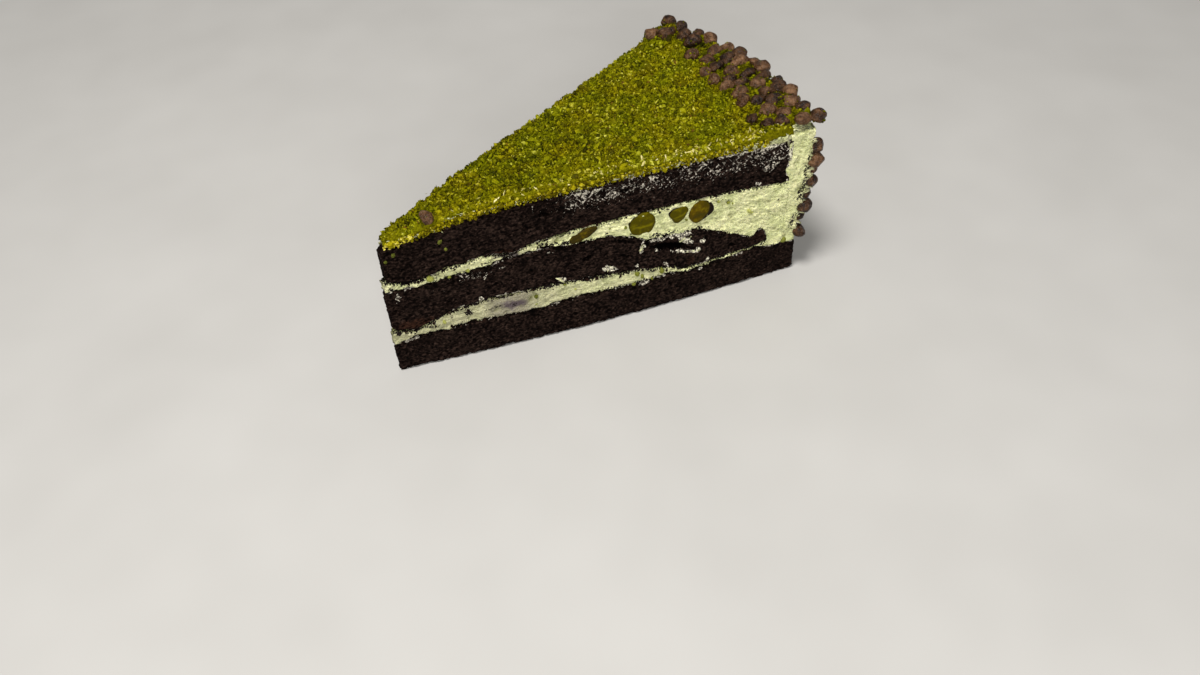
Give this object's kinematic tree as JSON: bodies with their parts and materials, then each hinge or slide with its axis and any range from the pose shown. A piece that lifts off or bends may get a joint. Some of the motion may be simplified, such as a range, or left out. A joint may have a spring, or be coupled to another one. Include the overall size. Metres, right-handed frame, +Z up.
{
  "type": "slice of pistachio cake",
  "caption": "Wedge of layered cake: dark chocolate sponges, pistachio cream fillings and coat, whole kernels, ground pistachio top and chocolate crisp balls round the rim.",
  "frame": {"origin": "middle of the slice's bounding box, on the surface that it rests on", "axes": "+X along the slice's middle from its tip to its round rim, +Y towards the far cut, +Z up"},
  "size_m": [0.1318, 0.0746, 0.0566],
  "materials": {
    "sponge": "matte dark chocolate sponge with an open crumb",
    "cream": "satin pale pistachio cream, dragged by the knife",
    "crumb": "matte ground pistachio in grains of about a millimetre",
    "chip": "satin milk chocolate crisp balls",
    "kernel": "cut pistachio kernel, slightly moist"
  },
  "bodies": {
    "root": {"sponge_bottom": "sponge", "cream_lower": "cream", "sponge_middle": "sponge", "cream_upper": "cream", "sponge_top": "sponge", "cream_coat": "cream", "pistachio_crumb": "crumb", "pistachio_near_1": "kernel", "pistachio_near_2": "kernel", "pistachio_near_3": "kernel", "pistachio_near_4": "kernel", "pistachio_far_1": "kernel", "pistachio_far_2": "kernel", "pistachio_far_3": "kernel"}
  },
  "joints": []
}
